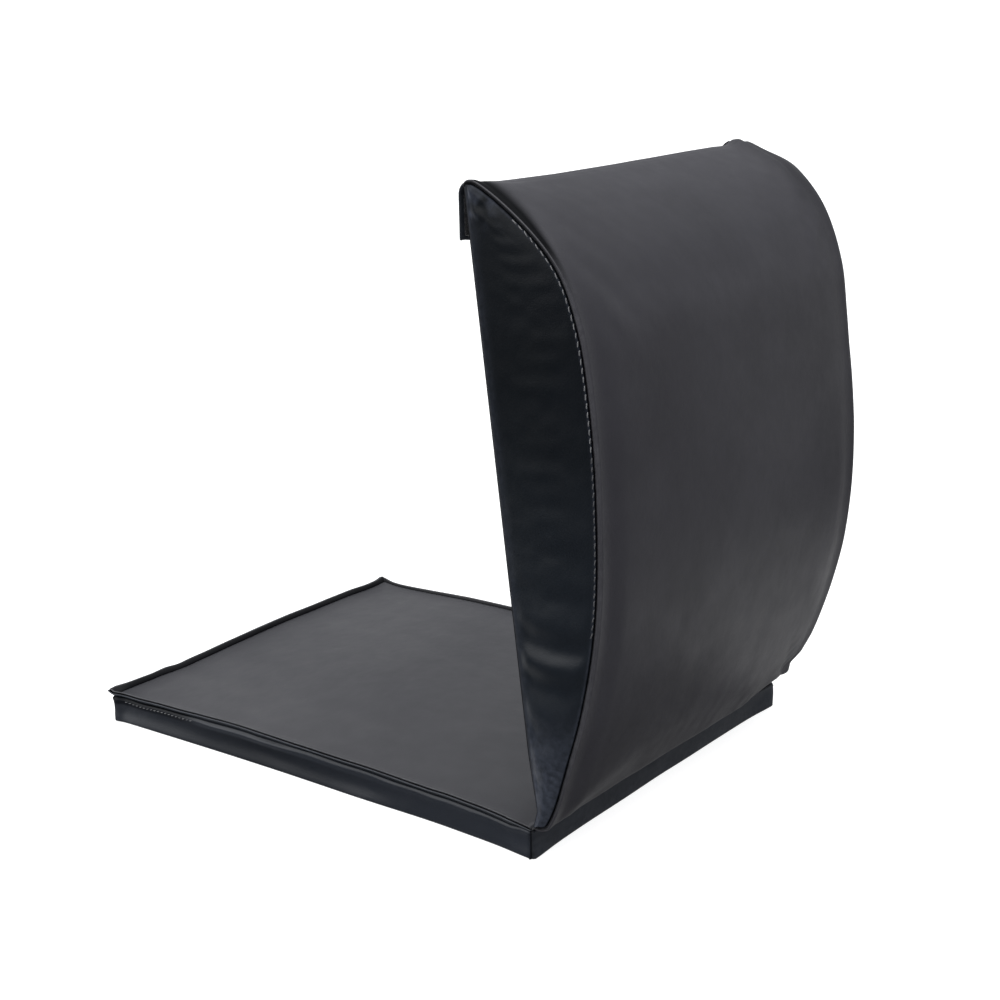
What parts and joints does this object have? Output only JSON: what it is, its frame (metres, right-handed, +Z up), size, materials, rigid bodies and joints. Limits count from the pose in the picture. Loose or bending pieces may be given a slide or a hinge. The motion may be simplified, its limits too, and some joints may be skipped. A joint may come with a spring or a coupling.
{
  "type": "folding sit-up mat",
  "caption": "Folding sit-up mat in black coated cloth: an arched back pad hinged to the front edge of a thin seat pad with a standing lip, with a closure flap on its top edge.",
  "frame": {"origin": "centre of the seat pad's underside, on the floor", "axes": "+Z up; +Y along the seat pad, from the hinge edge to the rear edge; +X along the hinge, to the right when looking along +Y"},
  "size_m": [0.3158, 0.4377, 0.4137],
  "materials": {
    "face_cloth": "satin",
    "side_cloth": "satin",
    "foam": "matte",
    "loop_strip": "matte",
    "hook_strip": "matte"
  },
  "bodies": {
    "seat_pad": {"seat_foam": "foam", "seat_bottom_panel": "side_cloth", "seat_top_panel": "face_cloth", "seat_left_band": "side_cloth", "seat_right_band": "side_cloth", "seat_rear_band": "side_cloth", "seat_front_band": "side_cloth", "seat_loop_strip": "loop_strip", "hinge_seat_leaf": "face_cloth"},
    "arch_pad": {"arch_foam": "foam", "arch_curved_panel": "face_cloth", "arch_flat_panel": "face_cloth", "arch_left_gusset": "side_cloth", "arch_right_gusset": "side_cloth", "arch_left_seam_roll": "side_cloth", "arch_right_seam_roll": "side_cloth", "hinge_arch_leaf": "face_cloth", "flap_root_tape": "side_cloth"},
    "flap": {"closure_flap": "side_cloth", "flap_hook_strip": "hook_strip"}
  },
  "joints": [
    {"name": "arch_fold", "type": "hinge", "parent": "seat_pad", "child": "arch_pad", "pos_m": [0, -0.189, 0.019], "axis": [1, 0, 0], "range_deg": [-82, 96.5]},
    {"name": "flap_swing", "type": "hinge", "parent": "arch_pad", "child": "flap", "pos_m": [0, -0.14835, 0.41094], "axis": [1, 0, 0], "range_deg": [-4, 180]}
  ]
}
